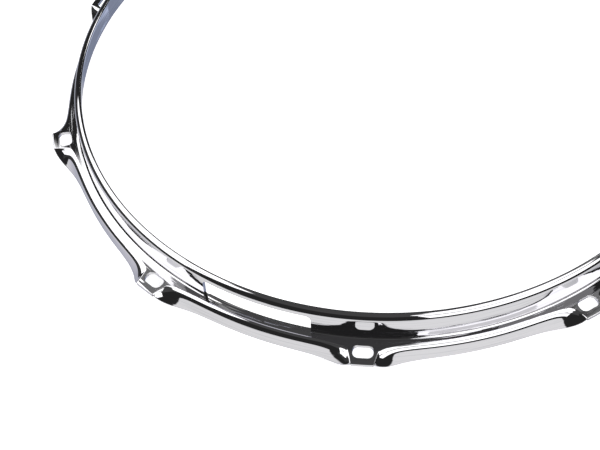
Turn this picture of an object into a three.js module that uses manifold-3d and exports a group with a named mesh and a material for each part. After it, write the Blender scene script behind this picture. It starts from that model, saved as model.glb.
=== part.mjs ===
// Snare-side drum hoop for a 14 inch drum: one steel strip, rolled, flanged and pressed, closed by a butt weld
// Millimetres, +Z up. The hoop stands on its skirt at z = 0, centred on the Z axis, with an ear on +X.

import * as THREE from 'three';
import { mergeVertices } from 'three/addons/utils/BufferGeometryUtils.js';
import Module from 'manifold-3d';

const wasm = await Module();
wasm.setup();

// Sheet, and the mouth that clears the drum's bearing edge
const sheetThickness = 2.3;
const mouthRadius = 179;

// Top flange, which turns inward, and the nearly upright wall below it
const lipWidth = 4.3;
const topBendRadius = 3.3;
const wallHeight = 16.6;
const wallDraft = 0.6;

// Shelf that presses on the drum head, and the skirt that hangs from it
const shelfWidth = 6.3;
const footBendRadius = 1.1;
const foldRadius = 3.3;
const skirtDepth = 11;

// Ears: flat tabs left in the plane of the shelf, one for each tension rod
const earCount = 10;
const earWidth = 11;
const earFlareRun = 3.8;

// Shoulders beside each ear, where the skirt leans out and its fold is drawn round a larger radius
const shoulderLean = THREE.MathUtils.degToRad(68);
const shoulderLeanRun = 14;
const shoulderFoldRadius = 30;
const shoulderFoldRun = 2.9;
const creaseWidth = 1.2;

// Oblong rod hole in each ear, set out from the skirt's outer face
const holeSetOut = 2.1;
const holeLength = 10.6;
const holeWidth = 7.2;
const holeCornerRadius = 3;

// Snare gates: windows in the wall between two ears, the first so many pitches round from an ear
const gateCount = 2;
const gatePitchShare = 2.5;
const gateWidth = 60.8;
const gateHeadDrop = 4.35;
const gateCornerRadius = 3;
const gateSillDepth = 0.3;
const gateOvercut = 1.3;

// Butt weld that closes the strip, ground flush, so many pitches round from an ear
const weldWidth = 4;
const weldPitchShare = 3.5;

// How far the punches run past the sheet
const overrun = 3;

// Mesh fineness
const bendSteps = 3;
const footSteps = 2;
const foldSteps = 2;
const earSteps = 2;
const flankSteps = 9;
const flankGrowth = 1.5;
const cornerSteps = 4;
const gateArcSteps = 6;
const slopeShare = 0.25;

// Radii of the outer face, from the mouth out
const wallTopRadius = mouthRadius + lipWidth;
const wallFootRadius = wallTopRadius + wallDraft;
const skirtRadius = wallFootRadius + shelfWidth;
const holeCircleRadius = skirtRadius + holeSetOut;
const gateReach = wallFootRadius + gateOvercut;

// Heights above the skirt's free edge
const shelfTop = skirtDepth;
const hoopHeight = shelfTop + wallHeight;
const gateHead = hoopHeight - gateHeadDrop;
const gateSill = shelfTop - gateSillDepth;

// Angles around the ring
const pitch = (2 * Math.PI) / earCount;
const weldAngle = weldPitchShare * pitch;
const weldHalfAngle = weldWidth / 2 / skirtRadius;

// What a bend takes off the straight lengths that meet in it
const setback = (radius, turn) => radius * Math.tan(turn / 2);
const bendSaving = (radius, turn) => 2 * setback(radius, turn) - radius * turn;

// Metal from the wall foot to the free edge, measured on the upper face, which is the same all round
const edgeStrip = shelfWidth + skirtDepth - bendSaving(foldRadius, Math.PI / 2);
const earReach = wallFootRadius + edgeStrip;

const chrome = new THREE.MeshStandardMaterial({ color: 0xdfe1e4, roughness: 0.06, metalness: 1 });
const groundChrome = new THREE.MeshStandardMaterial({ color: 0xd6d8db, roughness: 0.12, metalness: 1 });

// Points of an arc that leaves a straight of direction "from" and ends in direction "to", both in radians
function arcPoints(corner, from, to, radius, steps) {
  const turn = from - to;
  const back = setback(radius, Math.abs(turn));
  const start = {
    r: corner.r - back * Math.cos(from),
    z: corner.z - back * Math.sin(from),
  };
  const side = Math.sign(turn);
  const centre = {
    r: start.r + side * radius * Math.sin(from),
    z: start.z - side * radius * Math.cos(from),
  };
  const points = [];
  for (let step = 0; step <= steps; step += 1) {
    const heading = from - (turn * step) / steps;
    points.push({
      r: centre.r - side * radius * Math.sin(heading),
      z: centre.z + side * radius * Math.cos(heading),
      heading,
    });
  }
  return points;
}

// Distance past the ear's side, at a distance from its middle
const pastEar = (distance) => Math.max(0, distance - earWidth / 2);

// How far the skirt has turned down at a distance from the ear's middle
function skirtTurn(distance) {
  const past = pastEar(distance);
  const hang = Math.PI / 2 - shoulderLean * (1 - Math.tanh(past / shoulderLeanRun));
  return hang * THREE.MathUtils.smoothstep(past, 0, creaseWidth);
}

// Where the fold between shelf and skirt lies: at the free edge in the ear, then swinging in to the skirt
function foldReach(distance) {
  return skirtRadius + (earReach - skirtRadius) * Math.exp(-pastEar(distance) / earFlareRun);
}

// Radius of the fold, drawn large beside the ear and limited to what the metal outside it allows
function foldBend(distance, turn, room) {
  if (turn === 0) return 0;
  const more = (shoulderFoldRadius - foldRadius) * Math.exp(-pastEar(distance) / shoulderFoldRun);
  return Math.min(foldRadius + more, room / Math.tan(turn / 2));
}

// Upper and outer face of the strip as one line, from the mouth over the wall and shelf to the free edge
function outerProfile(distance) {
  const wallHeading = Math.atan2(shelfTop - hoopHeight, wallFootRadius - wallTopRadius);
  const turn = skirtTurn(distance);
  const fold = { r: foldReach(distance), z: shelfTop };
  const room = Math.max(0, edgeStrip - (fold.r - wallFootRadius));
  const bend = foldBend(distance, turn, room);
  const hang = room + bendSaving(bend, turn);
  const mouth = { r: mouthRadius, z: hoopHeight, heading: 0 };
  const edge = {
    r: fold.r + hang * Math.cos(turn),
    z: fold.z - hang * Math.sin(turn),
    heading: -turn,
  };
  return [
    mouth,
    ...arcPoints({ r: wallTopRadius, z: hoopHeight }, 0, wallHeading, topBendRadius, bendSteps),
    ...arcPoints({ r: wallFootRadius, z: shelfTop }, wallHeading, 0, footBendRadius, footSteps),
    ...arcPoints(fold, 0, -turn, bend, foldSteps),
    edge,
  ];
}

// Angles on one side of an ear's middle, close together where the sheet twists
function earOffsets() {
  const halfEar = earWidth / 2;
  const halfSpan = (pitch / 2) * skirtRadius;
  const offsets = [];
  for (let step = 1; step <= earSteps; step += 1) offsets.push((halfEar * step) / earSteps);
  for (let step = 1; step < flankSteps; step += 1) {
    const share = (flankGrowth ** step - 1) / (flankGrowth ** flankSteps - 1);
    offsets.push(halfEar + (halfSpan - halfEar) * share);
  }
  return offsets.map((offset) => offset / skirtRadius);
}

// Every angle at which the strip has a cross-section, from one side of the weld round to the other
function stripAngles() {
  const start = weldAngle + weldHalfAngle;
  const end = weldAngle + 2 * Math.PI - weldHalfAngle;
  const offsets = earOffsets();
  const marks = [0, pitch / 2, ...offsets, ...offsets.map((offset) => -offset)];
  const angles = [start, end];
  for (let ear = 0; ear < earCount; ear += 1) {
    for (const mark of marks) {
      const angle = start + THREE.MathUtils.euclideanModulo(ear * pitch + mark - start, 2 * Math.PI);
      if (angle > start && angle < end) angles.push(angle);
    }
  }
  return angles.sort((a, b) => a - b);
}

// Distance along the skirt circle from an angle to the nearest ear's middle
function distanceToEar(angle) {
  const turns = angle / pitch;
  return Math.abs(turns - Math.round(turns)) * pitch * skirtRadius;
}

const place = (point, angle) =>
  new THREE.Vector3(point.r * Math.cos(angle), point.r * Math.sin(angle), point.z);

// Upper face of the sheet at one angle, and the same face one thickness below, square to the surface
function sheetSection(angle) {
  const nudge = weldHalfAngle * slopeShare;
  const here = outerProfile(distanceToEar(angle));
  const before = outerProfile(distanceToEar(angle - nudge));
  const after = outerProfile(distanceToEar(angle + nudge));
  const upper = [];
  const lower = [];
  here.forEach((point, index) => {
    const across = new THREE.Vector3(
      Math.cos(point.heading) * Math.cos(angle),
      Math.cos(point.heading) * Math.sin(angle),
      Math.sin(point.heading),
    );
    const along = place(after[index], angle + nudge).sub(place(before[index], angle - nudge));
    const normal = across.cross(along).normalize();
    const top = place(point, angle);
    upper.push(top);
    lower.push(top.clone().addScaledVector(normal, -sheetThickness));
  });
  return [...upper, ...lower.reverse()];
}

// Closed sheet-metal body through cross-sections at the given angles, capped at both ends
function sheetBody(angles) {
  const sections = angles.map(sheetSection);
  const size = sections[0].length;
  const half = size / 2;
  const positions = sections.flat().flatMap((point) => point.toArray());
  const faces = [];
  const quad = (a, b, c, d) => faces.push(a, b, c, a, c, d);
  for (let row = 0; row + 1 < sections.length; row += 1) {
    for (let column = 0; column < size; column += 1) {
      const next = (column + 1) % size;
      quad(row * size + column, row * size + next, (row + 1) * size + next, (row + 1) * size + column);
    }
  }
  const last = (sections.length - 1) * size;
  for (let column = 0; column + 1 < half; column += 1) {
    const under = size - 1 - column;
    quad(column, under, under - 1, column + 1);
    quad(last + column, last + column + 1, last + under - 1, last + under);
  }
  const geometry = new THREE.BufferGeometry();
  geometry.setAttribute('position', new THREE.Float32BufferAttribute(positions, 3));
  geometry.setIndex(faces);
  return geometry;
}

function toSolid(source) {
  const bare = source.clone();
  bare.deleteAttribute('normal');
  bare.deleteAttribute('uv');
  const merged = mergeVertices(bare);
  const vertProperties = new Float32Array(merged.attributes.position.array);
  const triVerts = new Uint32Array(merged.index.array);
  return new wasm.Manifold(new wasm.Mesh({ numProp: 3, vertProperties, triVerts }));
}

function toGeometry(solid) {
  const mesh = solid.getMesh();
  const geometry = new THREE.BufferGeometry();
  geometry.setAttribute('position', new THREE.BufferAttribute(mesh.vertProperties, 3));
  geometry.setIndex(new THREE.BufferAttribute(mesh.triVerts, 1));
  geometry.computeVertexNormals();
  return geometry;
}

// Punch for one rod hole: an oblong with round corners, its long side along the rim
function holePunch(angle) {
  const flatX = holeWidth / 2 - holeCornerRadius;
  const flatY = holeLength / 2 - holeCornerRadius;
  const outline = new THREE.Shape();
  outline.absarc(flatX, flatY, holeCornerRadius, 0, Math.PI / 2, false);
  outline.absarc(-flatX, flatY, holeCornerRadius, Math.PI / 2, Math.PI, false);
  outline.absarc(-flatX, -flatY, holeCornerRadius, Math.PI, Math.PI * 1.5, false);
  outline.absarc(flatX, -flatY, holeCornerRadius, Math.PI * 1.5, Math.PI * 2, false);
  const depth = sheetThickness + 2 * overrun;
  const punch = new THREE.ExtrudeGeometry(outline, {
    depth,
    bevelEnabled: false,
    curveSegments: cornerSteps,
  });
  punch.translate(holeCircleRadius, 0, shelfTop - sheetThickness - overrun);
  punch.rotateZ(angle);
  return toSolid(punch);
}

// Outline of a gate window seen from outside, with its two upper corners rounded
function gateOutline() {
  const side = gateWidth / 2;
  const shoulder = side - gateCornerRadius;
  const spring = gateHead - gateCornerRadius;
  const outline = new THREE.Shape();
  outline.moveTo(-side, gateSill);
  outline.lineTo(side, gateSill);
  outline.lineTo(side, spring);
  outline.absarc(shoulder, spring, gateCornerRadius, 0, Math.PI / 2, false);
  outline.absarc(-shoulder, spring, gateCornerRadius, Math.PI / 2, Math.PI, false);
  return outline;
}

// Punch for one gate: the window driven out through the wall, stopped at a round line on the shelf
function gatePunch(angle) {
  const inside = mouthRadius - gateWidth / 2;
  const window = new THREE.ExtrudeGeometry(gateOutline(), {
    depth: gateReach + overrun - inside,
    bevelEnabled: false,
    curveSegments: cornerSteps,
  });
  window.rotateX(Math.PI / 2);
  window.translate(0, -inside, 0);
  window.rotateZ(Math.PI / 2 + angle);
  const spread = Math.asin((gateWidth / 2 + overrun) / gateReach);
  const sector = new THREE.Shape();
  sector.moveTo(0, 0);
  sector.lineTo(gateReach * Math.cos(spread), -gateReach * Math.sin(spread));
  sector.absarc(0, 0, gateReach, -spread, spread, false);
  const stop = new THREE.ExtrudeGeometry(sector, {
    depth: hoopHeight,
    bevelEnabled: false,
    curveSegments: gateArcSteps,
  });
  stop.rotateZ(angle);
  return toSolid(window).intersect(toSolid(stop));
}

function makeHoopStrip() {
  let strip = toSolid(sheetBody(stripAngles()));
  for (let ear = 0; ear < earCount; ear += 1) strip = strip.subtract(holePunch(ear * pitch));
  for (let gate = 0; gate < gateCount; gate += 1) {
    strip = strip.subtract(gatePunch(gatePitchShare * pitch + (gate * 2 * Math.PI) / gateCount));
  }
  const mesh = new THREE.Mesh(toGeometry(strip), chrome);
  mesh.name = 'hoop_strip';
  return mesh;
}

function makeButtWeld() {
  const angles = [weldAngle - weldHalfAngle, weldAngle + weldHalfAngle];
  const mesh = new THREE.Mesh(toGeometry(toSolid(sheetBody(angles))), groundChrome);
  mesh.name = 'butt_weld';
  return mesh;
}

const drumHoop = new THREE.Group();
drumHoop.add(makeHoopStrip(), makeButtWeld());

export default drumHoop;
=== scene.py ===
"""Snare-side drum hoop in chrome-plated pressed steel, with ten ears and two snare gates."""
import math

import bmesh
import bpy
import numpy as np
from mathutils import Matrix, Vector
from mathutils.bvhtree import BVHTree
from mathutils.interpolate import poly_3d_calc


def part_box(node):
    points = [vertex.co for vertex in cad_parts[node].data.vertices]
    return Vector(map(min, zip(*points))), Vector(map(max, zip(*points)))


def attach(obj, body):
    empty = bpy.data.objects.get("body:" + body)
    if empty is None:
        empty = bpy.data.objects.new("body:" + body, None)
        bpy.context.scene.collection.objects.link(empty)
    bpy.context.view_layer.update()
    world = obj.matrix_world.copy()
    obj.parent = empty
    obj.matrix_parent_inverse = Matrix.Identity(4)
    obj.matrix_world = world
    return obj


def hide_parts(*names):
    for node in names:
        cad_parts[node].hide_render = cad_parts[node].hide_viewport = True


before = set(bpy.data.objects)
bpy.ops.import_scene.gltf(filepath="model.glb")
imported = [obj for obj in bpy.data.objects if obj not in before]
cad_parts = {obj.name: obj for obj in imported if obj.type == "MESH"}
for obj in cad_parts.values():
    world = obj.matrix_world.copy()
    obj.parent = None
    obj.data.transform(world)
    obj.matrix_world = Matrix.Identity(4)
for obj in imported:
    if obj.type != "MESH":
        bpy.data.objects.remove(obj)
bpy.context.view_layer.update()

MM = 0.001


# Camera: a long lens, held above the front of the hoop and looking down on its near left part.
# Its place and turn were fitted to the rim, the ears and the rod holes in the photograph.
photo_width_px = 600
focal_px = 1148.07
sensor_mm = 36.0
nearest_seen = 50 * MM
camera_place = (0.17126, -0.46123, 0.50765)
camera_turn_deg = (37.42, 3.346, 21.487)
camera_data = bpy.data.cameras.new("camera")
camera_data.sensor_width = sensor_mm
camera_data.lens = focal_px / photo_width_px * sensor_mm
camera_data.clip_start = nearest_seen
camera = bpy.data.objects.new("camera", camera_data)
camera.location = camera_place
camera.rotation_mode = "YXZ"
camera.rotation_euler = [math.radians(turn) for turn in camera_turn_deg]
bpy.context.scene.collection.objects.link(camera)
bpy.context.scene.camera = camera


# Hoop strip: one length of 2.3 mm steel strip, rolled to a ring and pressed in three flanges.
# The lip turns in over the mouth, the wall stands on a shelf, and the skirt hangs from the shelf.
# The skirt is left flat in ten places, which makes the ears that the tension rods pass through.
sheet = 2.3 * MM
lip_width = 4.3 * MM
lip_bend = 3.3 * MM
wall_height = 16.6 * MM
wall_draft = 0.6 * MM
shelf_width = 6.3 * MM
foot_bend = 1.1 * MM
fold_bend = 3.3 * MM
edge_round = 0.4 * MM
rim_round = 0.9 * MM
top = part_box("hoop_strip")[1][2]
shelf_top = top - wall_height
skirt_depth = shelf_top
mouth = 179.0 * MM
wall_top = mouth + lip_width
wall_foot = wall_top + wall_draft
skirt_radius = wall_foot + shelf_width

ears = 10
pitch = 2 * math.pi / ears
ear_width = 11.0 * MM
ear_flare = 3.8 * MM
crease_width = 1.2 * MM
shoulder_lean = math.radians(68)
shoulder_lean_run = 14.0 * MM
shoulder_fold_bend = 30.0 * MM
shoulder_fold_run = 2.9 * MM


def setback(radius, turn):
    """How much of each straight leg a bend takes."""
    return radius * math.tan(turn / 2)


def bend_saving(radius, turn):
    """How much shorter the strip is than the two legs up to their corner."""
    return 2 * setback(radius, turn) - radius * turn


edge_strip = shelf_width + skirt_depth - bend_saving(fold_bend, math.pi / 2)
ear_reach = wall_foot + edge_strip
wall_turn = math.atan2(wall_height, wall_draft)
wall_length = math.hypot(wall_height, wall_draft)


def past_ear(angle):
    """How far a section lies from the side of the nearest ear, measured along the skirt."""
    turns = angle / pitch
    return max(0.0, abs(turns - round(turns)) * pitch * skirt_radius - ear_width / 2)


def skirt_turn(past):
    """How far the skirt is bent down, in radians. Beside the ear it still leans out."""
    hang = math.pi / 2 - shoulder_lean * (1 - math.tanh(past / shoulder_lean_run))
    share = min(1.0, past / crease_width)
    return hang * share * share * (3 - 2 * share)


def section_legs(past):
    """The strip's outer face as (length, turn) legs, from the mouth to the free edge."""
    turn = skirt_turn(past)
    fold = skirt_radius + (ear_reach - skirt_radius) * math.exp(-past / ear_flare)
    room = edge_strip - (fold - wall_foot)
    bend = fold_bend + (shoulder_fold_bend - fold_bend) * math.exp(-past / shoulder_fold_run)
    bend = min(bend, room / math.tan(turn / 2)) if turn > 0 else 0.0
    lip_back, foot_back = setback(lip_bend, wall_turn), setback(foot_bend, wall_turn)
    shelf = fold - wall_foot - foot_back - setback(bend, turn)
    return [
        (lip_width - lip_back, 0.0),
        (lip_bend * wall_turn, -wall_turn),
        (wall_length - lip_back - foot_back, 0.0),
        (foot_bend * wall_turn, wall_turn),
        (shelf, 0.0),
        (bend * turn, -turn),
        (room + bend_saving(bend, turn) - setback(bend, turn), 0.0),
    ]


def walk(legs, stations):
    """(radius, height, heading) at given lengths along the legs, starting level at the mouth."""
    points = []
    radius, height, heading, base = mouth, top, 0.0, 0.0
    for number, (length, turn) in enumerate(legs):
        last = number == len(legs) - 1
        while len(points) < len(stations) and (stations[len(points)] < base + length or last):
            step = min(stations[len(points)] - base, length)
            part_turn = turn * step / length if length else 0.0
            points.append(advance(radius, height, heading, step, part_turn))
        radius, height, heading = advance(radius, height, heading, length, turn)
        base += length
    return points


def advance(radius, height, heading, length, turn):
    """The end of a straight or round leg."""
    if abs(turn) < 1e-9:
        return radius + length * math.cos(heading), height + length * math.sin(heading), heading
    bend = length / turn
    ahead = heading + turn
    return (
        radius + bend * (math.sin(ahead) - math.sin(heading)),
        height - bend * (math.cos(ahead) - math.cos(heading)),
        ahead,
    )


lip_points, top_bend_points, wall_points, foot_bend_points = 3, 18, 7, 9
shelf_flat = 1.8 * MM
shelf_points = 3
skirt_points = 36


def section_stations():
    """Lengths along the strip at which its outer face has a point, close together in the bends."""
    counts = (lip_points, top_bend_points, wall_points, foot_bend_points)
    legs = section_legs(0)
    stations, base = [], 0.0
    for (length, _), count in zip(legs, counts):
        start = max(base, rim_round)
        base += length
        stations += list(np.linspace(start, base, count, endpoint=False))
    free_edge = sum(length for length, _ in legs)
    stations += list(np.linspace(base, base + shelf_flat, shelf_points, endpoint=False))
    stations += list(np.linspace(base + shelf_flat, free_edge - edge_round, skirt_points))
    return stations + [free_edge]


stations_along = section_stations()


def outer_face(angle):
    """Points of the outer face at one angle, and the way down the strip at each."""
    radius, height, heading = np.array(walk(section_legs(past_ear(angle)), stations_along)).T
    spoke = np.array([math.cos(angle), math.sin(angle), 0.0])
    up = np.array([0.0, 0.0, 1.0])
    points = radius[:, None] * spoke + height[:, None] * up
    across = np.cos(heading)[:, None] * spoke + np.sin(heading)[:, None] * up
    return points, across


def unit(vectors):
    return vectors / np.linalg.norm(vectors, axis=-1, keepdims=True)


def rounded_cut(corner, normal, outward, corner_round, steps=5):
    """The cut edge of the sheet, from its outer to its inner face, with both corners rounded."""
    points, normals = [], []
    for depth, lift in ((corner_round, 1), (sheet - corner_round, -1)):
        centre = corner - outward * corner_round - normal * depth
        for step in range(steps + 1):
            share = step / steps if lift > 0 else 1 - step / steps
            if share == 0:
                continue
            swing = math.pi / 2 * share
            ray = outward * math.sin(swing) + normal * lift * math.cos(swing)
            points.append(centre + corner_round * ray)
            normals.append(ray)
    return points, normals


def section_loop(angle):
    """Closed outline of the sheet at one angle, with its normals."""
    nudge = 0.05 * MM / skirt_radius
    points, across = outer_face(angle)
    along = unit(outer_face(angle + nudge)[0] - outer_face(angle - nudge)[0])
    normals = unit(np.cross(across, along))
    free = rounded_cut(points[-1], normals[-1], np.cross(along[-1], normals[-1]), edge_round)
    rim = -across[0]
    lip = rounded_cut(points[0] + rim * rim_round, normals[0], rim, rim_round)
    outer, outer_normals = points[:-1], normals[:-1]
    inner = outer - sheet * outer_normals
    loop = [*outer, *free[0], *inner[::-1], *lip[0][::-1]]
    loop_normals = [*outer_normals, *free[1], *-outer_normals[::-1], *lip[1][::-1]]
    return np.array(loop), np.array(loop_normals)


def ring_angles():
    """Angles of the sections: close together where the sheet twists beside each ear."""
    half_ear, half_span = ear_width / 2, pitch / 2 * skirt_radius
    fine, coarse, widening = 0.2 * MM, 1.25 * MM, 1.12
    ear_sections = 8
    marks = list(np.linspace(0, half_ear, ear_sections, endpoint=False))
    marks += list(np.arange(half_ear, half_ear + 2 * crease_width, fine))
    step = fine
    while marks[-1] + step < half_span - coarse / 2:
        step = min(step * widening, coarse)
        marks.append(marks[-1] + step)
    marks = np.array(marks + [half_span]) / skirt_radius
    one = np.concatenate([-marks[1:-1][::-1], marks])
    return np.concatenate([ear * pitch + one for ear in range(ears)])


def formed_sheet(name, angles):
    """A length of the formed strip through sections at these angles, closed at both ends."""
    loops = [section_loop(angle) for angle in angles]
    size = len(loops[0][0])
    points = np.concatenate([loop[0] for loop in loops])
    normals = np.concatenate([loop[1] for loop in loops])
    faces = []
    for here in range(0, len(points) - size, size):
        for column in range(size):
            after = (column + 1) % size
            faces.append((here + column, here + after, here + size + after, here + size + column))
    last = len(points) - size
    ends = [tuple(reversed(range(size))), tuple(range(last, last + size))]
    mesh = bpy.data.meshes.new(name)
    mesh.from_pydata(points.tolist(), [], faces + ends)
    return new_object(name, mesh), points, normals, faces


def new_object(name, mesh):
    piece = bpy.data.objects.new(name, mesh)
    bpy.context.scene.collection.objects.link(piece)
    return piece


# Rod holes and gates are punched after the ring is formed: ten oblong holes whose edges the
# punch rounds a little, and two windows in the wall that the snare straps pass through.
hole_out = 2.1 * MM
hole_length = 10.6 * MM
hole_width = 7.2 * MM
hole_corner = 3.0 * MM
hole_round = 0.3 * MM
hole_round_end = math.radians(76)
hole_round_lead = 0.05 * MM
gate_width = 60.8 * MM
gate_head_drop = 4.35 * MM
gate_corner = 3.0 * MM
gate_sill_depth = 0.3 * MM
gate_overcut = 1.3 * MM
gate_corner_steps = 8
gate_wall_steps = 24
overrun = 2.0 * MM


def oblong(grow, steps=10):
    """Outline of a rod hole, its long side along the rim, made larger all round by a length."""
    flat_x, flat_y = hole_width / 2 - hole_corner, hole_length / 2 - hole_corner
    points = []
    for quarter, (side_x, side_y) in enumerate(((1, 1), (-1, 1), (-1, -1), (1, -1))):
        for step in range(steps + 1):
            turn = math.pi / 2 * (quarter + step / steps)
            points.append((
                skirt_radius + hole_out + side_x * flat_x + (hole_corner + grow) * math.cos(turn),
                side_y * flat_y + (hole_corner + grow) * math.sin(turn),
            ))
    return points


def hole_punch(angle):
    """Vertices and faces of a punch that leaves round edges on both faces of the ear."""
    steps = 5
    flare = []
    for step in range(steps + 1):
        swing = hole_round_end * step / steps
        flare.append((hole_round * (1 - math.cos(swing)), hole_round * (1 - math.sin(swing))))
    widest = flare[-1][0] + hole_round_lead * math.tan(hole_round_end)
    flare.append((widest, flare[-1][1] - hole_round_lead))
    flare.append((widest, -overrun))
    rows = [(grow, shelf_top - sheet + depth) for grow, depth in reversed(flare)]
    rows += [(grow, shelf_top - depth) for grow, depth in flare]
    vertices, faces = [], []
    for grow, height in rows:
        for x, y in oblong(grow):
            vertices.append((
                x * math.cos(angle) - y * math.sin(angle),
                x * math.sin(angle) + y * math.cos(angle),
                height,
            ))
    size = len(vertices) // len(rows)
    for row in range(len(rows) - 1):
        for column in range(size):
            a, b = row * size + column, row * size + (column + 1) % size
            faces.append((a, b, b + size, a + size))
    faces += [tuple(reversed(range(size))), tuple(range(len(vertices) - size, len(vertices)))]
    return vertices, faces


def gate_punch(angle):
    """Vertices and faces of a window driven out through the wall and stopped on the shelf."""
    half, reach = gate_width / 2, wall_foot + gate_overcut
    sill, head = shelf_top - gate_sill_depth, top - gate_head_drop
    inner = mouth - half
    shoulder = half - gate_corner
    right = [shoulder * step / gate_wall_steps for step in range(1, gate_wall_steps)]
    for step in range(gate_corner_steps + 1):
        right.append(shoulder + gate_corner * math.sin(math.pi / 2 * step / gate_corner_steps))
    right.reverse()
    vertices, faces = [], []
    for x in [*right, 0.0, *[-x for x in reversed(right)]]:
        past = max(0.0, abs(x) - shoulder)
        ceiling = head - gate_corner + math.sqrt(max(0.0, gate_corner**2 - past**2))
        outer = math.sqrt(reach**2 - x**2)
        for depth, height in ((inner, sill), (inner, ceiling), (outer, ceiling), (outer, sill)):
            vertices.append((
                depth * math.cos(angle) - x * math.sin(angle),
                depth * math.sin(angle) + x * math.cos(angle),
                height,
            ))
    for row in range(0, len(vertices) - 4, 4):
        for column in range(4):
            a, b = row + column, row + (column + 1) % 4
            faces.append((a, b, b + 4, a + 4))
    last = len(vertices) - 4
    faces += [(3, 2, 1, 0), (last, last + 1, last + 2, last + 3)]
    return vertices, faces


def punch_mesh(punches):
    """All punches as one mesh with its faces pointing out."""
    vertices, faces = [], []
    for more, sides in punches:
        base = len(vertices)
        vertices += more
        faces += [tuple(base + corner for corner in side) for side in sides]
    mesh = bpy.data.meshes.new("punches")
    mesh.from_pydata(vertices, [], faces)
    form = bmesh.new()
    form.from_mesh(mesh)
    bmesh.ops.recalc_face_normals(form, faces=form.faces)
    form.to_mesh(mesh)
    form.free()
    return mesh


def cut(piece, punches):
    """Cuts the punches out of the piece and keeps the result as its mesh."""
    tool = new_object("punches", punches)
    step = piece.modifiers.new("punch", "BOOLEAN")
    step.operation = "DIFFERENCE"
    step.solver = "MANIFOLD"
    step.object = tool
    view = bpy.context.evaluated_depsgraph_get()
    result = bpy.data.meshes.new_from_object(piece.evaluated_get(view))
    piece.modifiers.clear()
    piece.data = result
    bpy.data.objects.remove(tool)


# A corner within about 30 degrees of the sheet's own normal lies on the sheet, any other on a cut.
same_face_cosine = 0.85


def lay_normals(mesh, points, normals, faces):
    """Gives each corner on the sheet's faces its true normal, and each cut wall its own."""
    formed = BVHTree.FromPolygons(points.tolist(), faces)
    smooth = []
    for vertex in mesh.vertices:
        number = formed.find_nearest(vertex.co)[2]
        corners = list(faces[number])
        weights = poly_3d_calc([Vector(points[corner]) for corner in corners], vertex.co)
        smooth.append(np.dot(weights, normals[corners]))
    smooth = unit(np.array(smooth))
    laid = []
    for polygon in mesh.polygons:
        flat = np.array(polygon.normal)
        for vertex in polygon.vertices:
            laid.append(smooth[vertex] if smooth[vertex] @ flat > same_face_cosine else flat)
    mesh.shade_smooth()
    mesh.normals_split_custom_set(laid)


weld_width = 4.0 * MM
weld_middle = 3.5 * pitch
weld_half = weld_width / 2 / skirt_radius
weld_end = weld_middle + weld_half
strip_span = 2 * math.pi - 2 * weld_half
least_step = 1e-5
inside = np.sort((ring_angles() - weld_end) % (2 * math.pi))
inside = inside[(inside > least_step) & (inside < strip_span - least_step)]
hoop, *formed = formed_sheet("hoop_strip_formed", weld_end + np.array([0, *inside, strip_span]))
punches = [hole_punch(ear * pitch) for ear in range(ears)]
punches += [gate_punch(side * math.pi / 2) for side in (1, -1)]
cut(hoop, punch_mesh(punches))
lay_normals(hoop.data, *formed)


# Bright chrome plate over polished steel: to the eye a nearly neutral mirror. Polishing leaves fine
# lines along the rim, drawn about 1 mm apart because the real ones are too fine to show, and
# pressing leaves shallow ripples that are strongest along the foot of the wall.
def from_hex(code):
    """sRGB hex to linear RGBA."""
    channels = [int(code[i:i + 2], 16) / 255 for i in (1, 3, 5)]
    return [c / 12.92 if c <= 0.04045 else ((c + 0.055) / 1.055) ** 2.4 for c in channels] + [1.0]


def add_node(tree, kind, inputs, **settings):
    """Adds a node. An input given as a node or an output is linked, any other is set."""
    node = tree.nodes.new(kind)
    for name, value in settings.items():
        setattr(node, name, value)
    for name, value in inputs.items():
        if isinstance(value, bpy.types.Node):
            value = value.outputs[0]
        if isinstance(value, bpy.types.NodeSocket):
            tree.links.new(value, node.inputs[name])
        else:
            node.inputs[name].default_value = value
    return node


plate_colour = "#DDDCDF"
line_colour = "#C9C9CD"
line_length = 45 * MM
line_spacing = 1.1 * MM
ripple_spacing = 1.3 * MM
ripple_low, ripple_high = 0.25, 0.75
foot_tilt = math.radians(2.5)
open_tilt = foot_tilt / 5
foot_half_width = 0.6 * MM
foot_reach = 3.0 * MM
groove_share = 4.0
groove_from, groove_to = 0.6, 0.66
dull_from, worn_from, lines_full = 0.52, 0.5, 0.75
mirror_roughness, line_roughness = 0.012, 0.15
foot_way = wall_foot - shelf_top
plate = bpy.data.materials.new("bright_chrome_plate")
plate.use_nodes = True
tree = plate.node_tree
shader = tree.nodes["Principled BSDF"]
shader.inputs["Metallic"].default_value = 1.0
place = add_node(tree, "ShaderNodeTexCoord", {})
level = add_node(tree, "ShaderNodeVectorMath", {0: place.outputs["Object"], 1: (1, 1, 0)},
                 operation="MULTIPLY")
radius = add_node(tree, "ShaderNodeVectorMath", {0: level}, operation="LENGTH")
height = add_node(tree, "ShaderNodeSeparateXYZ", {0: place.outputs["Object"]})
way = add_node(tree, "ShaderNodeMath", {0: radius.outputs["Value"], 1: height.outputs["Z"]},
               operation="SUBTRACT")
around = add_node(tree, "ShaderNodeVectorMath", {0: level}, operation="NORMALIZE")
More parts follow.
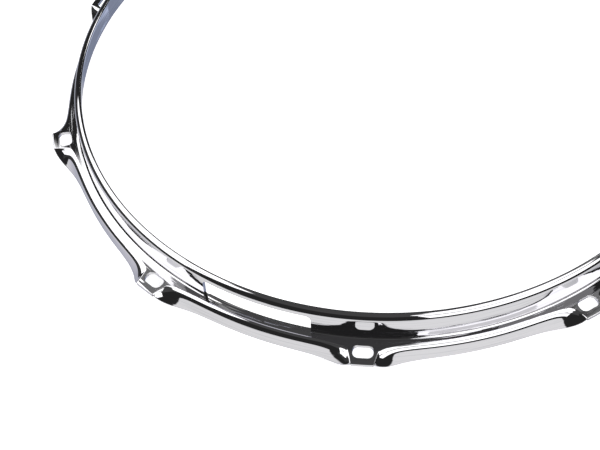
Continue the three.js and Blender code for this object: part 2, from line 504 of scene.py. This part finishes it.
# Lines: dull threads along the rim, rougher and a little greyer than the mirror between them.
turn = add_node(tree, "ShaderNodeVectorMath", {0: around, "Scale": skirt_radius / line_length},
                operation="SCALE")
step = add_node(tree, "ShaderNodeMath", {0: way, 1: 1 / line_spacing}, operation="MULTIPLY")
step = add_node(tree, "ShaderNodeCombineXYZ", {"Z": step})
spot = add_node(tree, "ShaderNodeVectorMath", {0: turn, 1: step}, operation="ADD")
lines = add_node(tree, "ShaderNodeTexNoise", {"Vector": spot, "Scale": 1.0, "Detail": 3.0,
                                              "Roughness": 0.6})
dull = add_node(tree, "ShaderNodeMapRange", {0: lines, 1: dull_from, 2: lines_full,
                                             3: mirror_roughness, 4: line_roughness})
tree.links.new(dull.outputs[0], shader.inputs["Roughness"])
worn = add_node(tree, "ShaderNodeMapRange", {0: lines, 1: worn_from, 2: lines_full})
tone = add_node(tree, "ShaderNodeMix", {0: worn, 6: from_hex(plate_colour), 7: from_hex(line_colour)},
                data_type="RGBA")
tree.links.new(tone.outputs[2], shader.inputs["Base Color"])
# Ripples: they tilt the mirror up and down the strip, by half a degree and beside the foot by 2.5.
# A few of the lines are grooves, which tilt it further.
step = add_node(tree, "ShaderNodeMath", {0: way, 1: 1 / ripple_spacing}, operation="MULTIPLY")
step = add_node(tree, "ShaderNodeCombineXYZ", {"Z": step})
spot = add_node(tree, "ShaderNodeVectorMath", {0: turn, 1: step}, operation="ADD")
ripples = add_node(tree, "ShaderNodeTexNoise", {"Vector": spot, "Scale": 1.0, "Detail": 1.0})
off_foot = add_node(tree, "ShaderNodeMath", {0: way, 1: foot_way}, operation="SUBTRACT")
off_foot = add_node(tree, "ShaderNodeMath", {0: off_foot}, operation="ABSOLUTE")
most = add_node(tree, "ShaderNodeMapRange", {0: off_foot, 1: foot_half_width, 2: foot_reach,
                                             3: foot_tilt, 4: open_tilt},
                interpolation_type="SMOOTHSTEP")
swing = add_node(tree, "ShaderNodeMapRange", {0: ripples, 1: ripple_low, 2: ripple_high, 3: -1.0})
groove = add_node(tree, "ShaderNodeMapRange", {0: lines, 1: groove_from, 2: groove_to,
                                               4: groove_share})
swing = add_node(tree, "ShaderNodeMath", {0: swing, 1: groove}, operation="ADD")
tilt = add_node(tree, "ShaderNodeMath", {0: swing, 1: most}, operation="MULTIPLY")
formed_face = add_node(tree, "ShaderNodeNewGeometry", {})
along = add_node(tree, "ShaderNodeVectorMath", {0: (0, 0, 1), 1: around}, operation="CROSS_PRODUCT")
down = add_node(tree, "ShaderNodeVectorMath", {0: along, 1: formed_face.outputs["Normal"]},
                operation="CROSS_PRODUCT")
lean = add_node(tree, "ShaderNodeVectorMath", {0: down, "Scale": tilt}, operation="SCALE")
bent = add_node(tree, "ShaderNodeVectorMath", {0: formed_face.outputs["Normal"], 1: lean},
                operation="ADD")
bent = add_node(tree, "ShaderNodeVectorMath", {0: bent}, operation="NORMALIZE")
tree.links.new(bent.outputs[0], shader.inputs["Normal"])
hoop.data.materials.clear()
hoop.data.materials.append(plate)
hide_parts("hoop_strip")
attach(hoop, "root")


# Butt weld: the bead that joins the strip's two ends, 4 mm wide, ground flush with the sheet on
# both faces before plating. Grinding leaves it a little duller than the pressed sheet beside it.
ground_roughness = 0.12
weld_sections = 7
across_weld = np.linspace(-weld_half, weld_half, weld_sections)
weld, *formed = formed_sheet("butt_weld_bead", weld_middle + across_weld)
lay_normals(weld.data, *formed)
ground = plate.copy()
ground.name = "ground_chrome_plate"
ground.node_tree.nodes[dull.name].inputs[3].default_value = ground_roughness
weld.data.materials.append(ground)
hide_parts("butt_weld")
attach(weld, "root")


# Floor: a matt white table, so bright that the camera sees it without a shadow.
# The mirror of the plate sees the studio's own lower half instead of this sheet.
floor_half = 4.0
floor_drop = 0.2 * MM
floor_glow = 0.75
floor_colour = "#FFFFFF"
corners = [(-1, -1), (1, -1), (1, 1), (-1, 1)]
corners = [(x * floor_half, y * floor_half, -floor_drop) for x, y in corners]
floor_mesh = bpy.data.meshes.new("floor")
floor_mesh.from_pydata(corners, [], [(0, 1, 2, 3)])
floor = new_object("floor", floor_mesh)
floor_material = bpy.data.materials.new("white_table")
floor_material.use_nodes = True
floor_shader = floor_material.node_tree.nodes["Principled BSDF"]
floor_shader.inputs["Base Color"].default_value = from_hex(floor_colour)
floor_shader.inputs["Emission Color"].default_value = from_hex(floor_colour)
floor_shader.inputs["Emission Strength"].default_value = floor_glow
floor_mesh.materials.append(floor_material)
floor.visible_glossy = False
floor.visible_diffuse = False


# Studio: a long soft box on the left, two on the right and a bank overhead, with a bright table
# below the horizon and black cloth elsewhere. They hang where the plate mirrors them in the photo.
# An edge is drawn as (azimuth, elevation) in degrees, azimuth to the right of the camera's heading.
heading_deg = 116.983
lamp_blur_deg = 0.6
table_blur_deg = 1.5
black_cloth = 0.024
lamp_colour = "#FFFFFF"
# Each has a low edge, a high edge and a strength, and covers the ones before it.
lamps = {
    "ceiling": (
        [(-179, 58), (-31.5, 58), (-30, 48), (30, 48), (31.5, 58), (179, 60)],
        [(-179, 90), (179, 90)],
        0.07),
    "left_wall": (
        [(-119.5, 90), (-118, 3), (-45, 3), (-43.5, 90)],
        [(-119.5, -90), (-118, 20), (-45, 20), (-43.5, -90)],
        0.05),
    "left_box": (
        [(-113, 90), (-111, 24), (-90, 26), (-75, 30), (-60, 30), (-45, 28), (-38, 33), (-30, 39),
         (-22, 43), (-19, 44.5), (-16, 47.5), (-12, 47.5), (-9.6, 52), (-8.2, 90)],
        [(-113, -90), (-109, 50), (-105, 62), (-96, 68), (-87, 70.5), (-78, 72), (-69, 72.5),
         (-60, 72), (-51, 71), (-42, 70), (-33, 67.5), (-22, 64), (-17, 61), (-9.6, 58.5),
         (-8.2, -90)],
        2.0),
    "left_box_fading_end": (
        [(-9.8, 90), (-9.2, 50), (-6.2, 50), (-5.2, 90)],
        [(-9.8, -90), (-9.2, 59), (-6.2, 59), (-5.2, -90)],
        0.3),
    "left_box_spot": (
        [(-15.6, 90), (-15.2, 52.8), (-11.2, 52.8), (-10.8, 90)],
        [(-15.6, -90), (-15.2, 55.6), (-11.2, 55.6), (-10.8, -90)],
        0.2),
    "left_box_seam_end": (
        [(-85.5, 90), (-84, 55), (-75, 56), (-73, 90)],
        [(-85.5, -90), (-84, 60), (-75, 59), (-73, -90)],
        0.42),
    "left_box_seam": (
        [(-102, 90), (-98, 55), (-83, 55.5), (-80.5, 90)],
        [(-102, -90), (-98, 61), (-83, 60), (-80.5, -90)],
        0.12),
    "right_front_box": (
        [(14.5, 90), (16, 40), (18, 42), (21, 45), (27, 45), (32, 39), (40, 36), (60, 22), (61.5, 90)],
        [(14.5, -90), (16, 46), (18, 48), (21, 52.5), (27, 52.5), (30, 46.5), (40, 44), (55, 37),
         (60, 30), (61.5, -90)],
        2.0),
    "table_far_end": (
        [(12, 90), (14, -43), (54, -43), (56, 90)],
        [(12, -90), (14, -34), (54, -34), (56, -90)],
        1.0),
    "right_front_box_fading_top": (
        [(15, 90), (17, 52), (27, 52), (28.4, 90)],
        [(15, -90), (17, 55.5), (27, 55.5), (28.4, -90)],
        0.22),
    "overhead_bank": (
        [(26.5, 90), (28, 58), (60, 61), (80, 60), (90, 63), (100, 62), (112, 60.6), (118, 60.5),
         (125, 61.5), (132, 62.2), (140, 63.4), (148, 65), (156, 66.2), (165, 67.5), (166.5, 90)],
        [(26.5, -90), (28, 76), (34, 80), (60, 83), (150, 82), (165, 76), (166.5, -90)],
        2.0),
    "right_rear_box": (
        [(93.5, 90), (95, 52), (100, 47), (110, 36), (118, 22), (135, 20), (171.5, 18),
         (174.5, 90)],
        [(93.5, -90), (95, 54), (108, 56.3), (120, 57.6), (140, 58.8), (171.5, 59.2),
         (174.5, -90)],
        2.0),
    "right_rear_box_top": (
        [(123, 90), (125, 51), (168, 51), (170, 90)],
        [(123, -90), (125, 58), (168, 58), (170, -90)],
        1.1),
    "right_gap": (
        [(86, 90), (88, 54), (94, 55), (108, 56.3), (120, 57.6), (134, 58.5), (136, 90)],
        [(86, -90), (88, 62), (94, 62), (100, 61), (112, 60), (125, 61), (134, 62.5), (136, -90)],
        0.28),
}
table_light = [(-180, 0.95), (-120, 0.9), (-90, 0.84), (-75, 0.75), (-60, 0.66), (-48, 0.58),
               (-15, 0.56), (-10, 1.3), (0, 0.9), (12, 0.6), (22, 0.37), (60, 0.41), (72, 0.62),
               (96, 0.58), (108, 0.68), (120, 0.86), (135, 0.94), (180, 0.95)]
table_edge = [(-180, -9), (-168, -8.5), (-156, -13), (-144, -16), (-132, -18), (-120, -14),
              (-108, -12), (-96, -10), (-80, -10), (-70, -14), (-50, -16), (-45, -10), (-30, -3),
              (-12, -3), (0, -20), (14, -30), (60, -30), (75, -3), (96, -8), (108, -12),
              (120, -14), (132, -14), (144, -11), (156, -10), (168, -8), (180, -8)]
table_tint = [(-180, "#FFFFFF"), (-100, "#FFFFFF"), (-75, "#F6F5FF"), (-45, "#EEF0FF"),
              (-20, "#EEF2FF"), (-12, "#FAFAFF"), (10, "#F6F7FF"), (20, "#D4E0FF"),
              (66, "#D4E0FF"), (84, "#F2F4FF"), (120, "#FFFFFF")]
table_brightest = 2.0
world = bpy.data.worlds.new("studio")
world.use_nodes = True
bpy.context.scene.world = world
sky = world.node_tree
sky.nodes.clear()
place = add_node(sky, "ShaderNodeTexCoord", {})
way = add_node(sky, "ShaderNodeSeparateXYZ", {0: place.outputs["Generated"]})
swing = add_node(sky, "ShaderNodeMath", {0: way.outputs["Y"], 1: way.outputs["X"]}, operation="ARCTAN2")
turned = add_node(sky, "ShaderNodeMath", {0: math.radians(heading_deg), 1: swing}, operation="SUBTRACT")
right = add_node(sky, "ShaderNodeMath", {0: turned, 1: math.pi, 2: -math.pi}, operation="WRAP")
across = add_node(sky, "ShaderNodeMapRange", {0: right, 1: -math.pi, 2: math.pi})
rise = add_node(sky, "ShaderNodeMath", {0: way.outputs["Z"]}, operation="ARCSINE")
height = add_node(sky, "ShaderNodeMapRange", {0: rise, 1: -math.pi / 2, 2: math.pi / 2})
light = add_node(sky, "ShaderNodeValue", {})
light.outputs[0].default_value = black_cloth
# Every edge, and the table's light, becomes a curve over the azimuth with shares for its values.
edges = {"table": (table_edge, -table_blur_deg)}
for name, (low_edge, high_edge, _) in lamps.items():
    edges[name + "_low"] = (low_edge, lamp_blur_deg)
    edges[name + "_high"] = (high_edge, -lamp_blur_deg)
shares = {"table_light": [(azimuth, level / table_brightest) for azimuth, level in table_light]}
for name, (points, _) in edges.items():
    shares[name] = [(azimuth, (elevation + 90) / 180) for azimuth, elevation in points]
drawn = {}
for name, points in shares.items():
    drawn[name] = add_node(sky, "ShaderNodeFloatCurve", {"Value": across})
    curve = drawn[name].mapping.curves[0]
    curve.points[0].location = (0, points[0][1])
    curve.points[1].location = (1, points[-1][1])
    for azimuth, share in points:
        if -180 < azimuth < 180:
            curve.points.new((azimuth + 180) / 360, share)
    for point in curve.points:
        point.handle_type = "VECTOR"
    drawn[name].mapping.update()
# A soft step at each edge, from 0 to 1 with height at a low edge and from 1 to 0 at a high one.
side = {}
for name, (_, blur_deg) in edges.items():
    above = add_node(sky, "ShaderNodeMath", {0: height, 1: drawn[name]}, operation="SUBTRACT")
    side[name] = add_node(sky, "ShaderNodeMapRange", {0: above, 1: -blur_deg / 180, 2: blur_deg / 180},
                          interpolation_type="SMOOTHSTEP")
for name, (_, _, strength) in lamps.items():
    lit = add_node(sky, "ShaderNodeMath", {0: side[name + "_low"], 1: side[name + "_high"]},
                   operation="MULTIPLY")
    light = add_node(sky, "ShaderNodeMix", {0: lit, 2: light, 3: strength})
table_part = add_node(sky, "ShaderNodeMath", {0: drawn["table_light"], 1: side["table"]},
                      operation="MULTIPLY")
table_part = add_node(sky, "ShaderNodeMath", {0: table_part, 1: table_brightest},
                      operation="MULTIPLY")
light = add_node(sky, "ShaderNodeMath", {0: light, 1: table_part}, operation="MAXIMUM")
tint = add_node(sky, "ShaderNodeValToRGB", {"Fac": across})
stops = tint.color_ramp.elements
stops.remove(stops[1])
for number, (azimuth, code) in enumerate(table_tint):
    stop = stops[0] if number == 0 else stops.new((azimuth + 180) / 360)
    stop.color = from_hex(code)
colour = add_node(sky, "ShaderNodeMix", {0: side["table"], 6: from_hex(lamp_colour), 7: tint},
                  data_type="RGBA")
studio = add_node(sky, "ShaderNodeBackground", {"Color": colour.outputs[2], "Strength": light})
# The camera itself sees a plain white backdrop where the table ends.
white = add_node(sky, "ShaderNodeBackground", {"Color": from_hex("#FFFFFF")})
seen = add_node(sky, "ShaderNodeLightPath", {})
mixed = add_node(sky, "ShaderNodeMixShader", {0: seen.outputs["Is Camera Ray"], 1: studio, 2: white})
add_node(sky, "ShaderNodeOutputWorld", {"Surface": mixed})
bpy.context.scene.view_settings.view_transform = "Standard"
